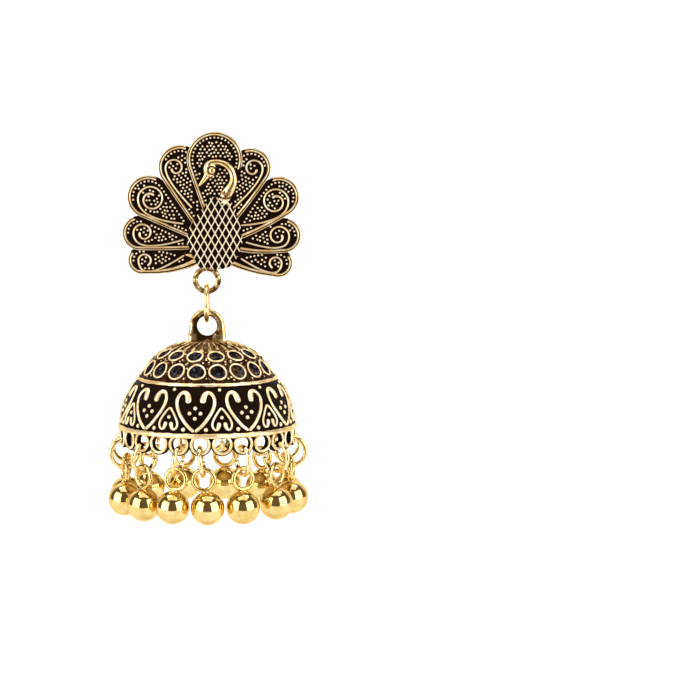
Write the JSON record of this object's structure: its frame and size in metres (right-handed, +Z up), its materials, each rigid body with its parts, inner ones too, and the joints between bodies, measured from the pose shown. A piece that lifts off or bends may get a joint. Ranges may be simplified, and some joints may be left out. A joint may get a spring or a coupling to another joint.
{
  "type": "jhumka earring",
  "caption": "drop earring: peacock stud plate on an ear post, a jump ring, and a hollow domed bell with a pierced edge hung with small round bead drops",
  "frame": {"origin": "on the ear post's axis, at the back face of the peacock plate", "axes": "+Z up, -Y the front face, +Y along the ear post, +X the viewer's right"},
  "size_m": [0.033, 0.0333, 0.0632],
  "materials": {
    "antique_gold": "cast, antiqued: dark brown-black in the recesses, polished gold on the raised lines",
    "bright_gold": "smooth polished gold plate",
    "gold_wire": "drawn wire, bright pale gold plate"
  },
  "bodies": {
    "stud": {"peacock_plate": "antique_gold"},
    "link": {"upper_jump_ring": "gold_wire"},
    "bell": {"bell": "antique_gold", "drop_ring_01": "gold_wire", "drop_ring_02": "gold_wire", "drop_ring_03": "gold_wire", "drop_ring_04": "gold_wire", "drop_ring_05": "gold_wire", "drop_ring_06": "gold_wire", "drop_ring_07": "gold_wire", "drop_ring_08": "gold_wire", "drop_ring_09": "gold_wire", "drop_ring_10": "gold_wire", "drop_ring_11": "gold_wire", "drop_ring_12": "gold_wire", "drop_ring_13": "gold_wire", "bead_drop_01": "bright_gold", "bead_drop_02": "bright_gold", "bead_drop_03": "bright_gold", "bead_drop_04": "bright_gold", "bead_drop_05": "bright_gold", "bead_drop_06": "bright_gold", "bead_drop_07": "bright_gold", "bead_drop_08": "bright_gold", "bead_drop_09": "bright_gold", "bead_drop_10": "bright_gold", "bead_drop_11": "bright_gold", "bead_drop_12": "bright_gold", "bead_drop_13": "bright_gold"}
  },
  "joints": [
    {"name": "link_swing", "type": "hinge", "parent": "stud", "child": "link", "pos_m": [0, -0.00055, -0.01507], "axis": [1, 0, 0], "range_deg": [-60, 60]},
    {"name": "bell_swing", "type": "hinge", "parent": "link", "child": "bell", "pos_m": [0, -0.00055, -0.01982], "axis": [0, 1, 0], "range_deg": [-45, 45]}
  ]
}
